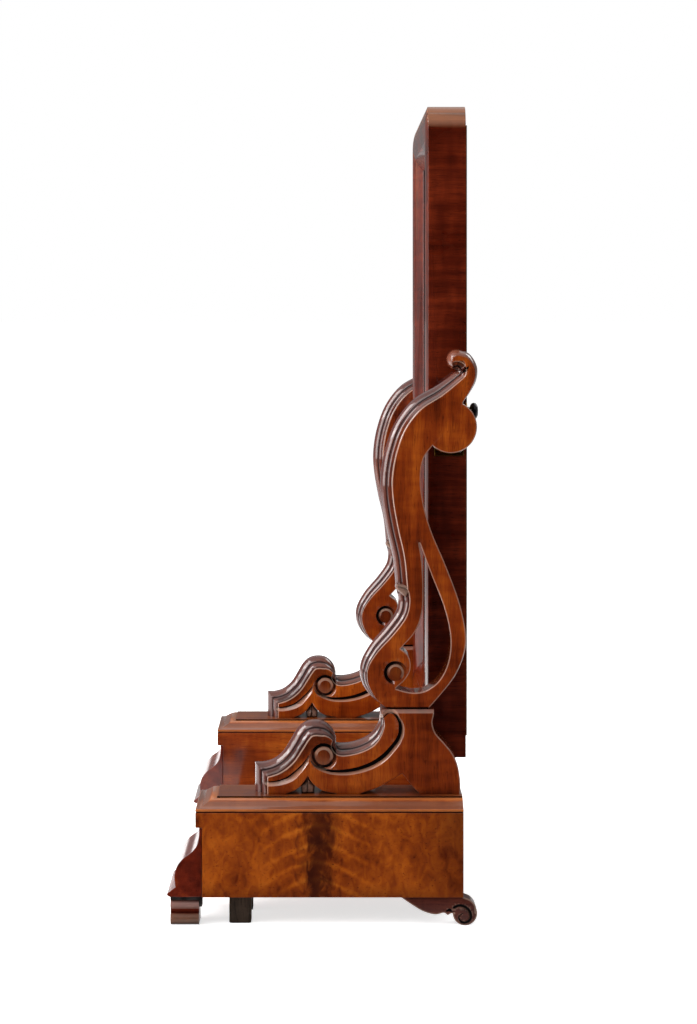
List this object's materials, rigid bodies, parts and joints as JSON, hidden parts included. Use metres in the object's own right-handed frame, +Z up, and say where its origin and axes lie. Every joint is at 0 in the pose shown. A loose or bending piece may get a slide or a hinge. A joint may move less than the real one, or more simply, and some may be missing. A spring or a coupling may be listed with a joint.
{
  "type": "vanity mirror",
  "caption": "Table swing mirror on two carved scroll uprights and two small drawer boxes, with a deep wooden frame, brass pivots and clamp screws.",
  "frame": {"origin": "middle of the bounding box, on the surface that the feet stand on", "axes": "+Z up; the glass faces -Y; +X is to the right of someone looking into the glass"},
  "size_m": [0.6, 0.316, 0.827],
  "materials": {
    "veneer": "figured veneer, french polish",
    "mahogany": "straight grain, french polish",
    "moulding": "polished moulding",
    "drawer_front": "dark red, high polish",
    "drawer_lining": "bare, aged",
    "secondary_wood": "bare, aged",
    "carved_mahogany": "carved, french polish with dark hollows",
    "block_wood": "stained black-brown",
    "dowel_wood": "bare",
    "frame_mahogany": "dark red, french polish",
    "slip": "dark, polished",
    "backboard_wood": "bare, aged",
    "mirror": "silvered plate glass",
    "brass": "aged",
    "iron": "blackened",
    "dark_metal": "blackened, glossy"
  },
  "bodies": {
    "base": {"platform": "mahogany", "back_rail": "mahogany", "outer_side_right": "veneer", "outer_side_left": "veneer", "inner_side_right": "mahogany", "inner_side_left": "mahogany", "back_board_right": "secondary_wood", "back_board_left": "secondary_wood", "bottom_board_right": "secondary_wood", "bottom_board_left": "secondary_wood", "frieze_rail_right": "mahogany", "frieze_rail_left": "mahogany", "box_top_right": "moulding", "box_top_left": "moulding", "front_foot_right": "carved_mahogany", "front_foot_left": "carved_mahogany", "rear_foot_right": "carved_mahogany", "rear_foot_left": "carved_mahogany", "block_feet_right": "block_wood", "block_feet_left": "block_wood", "foot_strap_right": "iron", "foot_strap_left": "iron", "bracket_right": "carved_mahogany", "bracket_left": "carved_mahogany", "upright_right": "carved_mahogany", "upright_left": "carved_mahogany", "dowels_right": "dowel_wood", "dowels_left": "dowel_wood", "spindle_right": "brass", "spindle_left": "brass"},
    "drawer_right": {"drawer_front_right": "drawer_front", "drawer_sides_right": "drawer_lining", "drawer_back_right": "drawer_lining", "drawer_bottom_right": "drawer_lining"},
    "drawer_left": {"drawer_front_left": "drawer_front", "drawer_sides_left": "drawer_lining", "drawer_back_left": "drawer_lining", "drawer_bottom_left": "drawer_lining"},
    "mirror": {"top_rail": "frame_mahogany", "bottom_rail": "frame_mahogany", "slip": "slip", "mirror_glass": "mirror", "glass_blocks": "dowel_wood", "backboard": "backboard_wood", "backboard_screws": "iron", "stile_right": "frame_mahogany", "stile_left": "frame_mahogany", "pivot_plate_right": "brass", "pivot_plate_left": "brass", "plate_screws_right": "brass", "plate_screws_left": "brass", "pivot_bush_right": "brass", "pivot_bush_left": "brass", "clamp_insert_right": "brass", "clamp_insert_left": "brass", "clamp_plunger_right": "brass", "clamp_plunger_left": "brass"},
    "clamp_right": {"clamp_screw_right": "dark_metal"},
    "clamp_left": {"clamp_screw_left": "dark_metal"}
  },
  "joints": [
    {"name": "drawer_right_slide", "type": "slide", "parent": "base", "child": "drawer_right", "axis": [0, -1, 0], "range_m": [0, 0.18]},
    {"name": "drawer_left_slide", "type": "slide", "parent": "base", "child": "drawer_left", "axis": [0, -1, 0], "range_m": [0, 0.18]},
    {"name": "mirror_tilt", "type": "hinge", "parent": "base", "child": "mirror", "pos_m": [0, 0.1277, 0.4975], "axis": [1, 0, 0], "range_deg": [-75, 75]},
    {"name": "clamp_right_turn", "type": "hinge", "parent": "mirror", "child": "clamp_right", "pos_m": [0.216, 0.145, 0.5117], "axis": [0, 1, 0], "range_deg": [0, 360]},
    {"name": "clamp_left_turn", "type": "hinge", "parent": "mirror", "child": "clamp_left", "pos_m": [-0.216, 0.145, 0.5117], "axis": [0, 1, 0], "range_deg": [0, 360]}
  ]
}
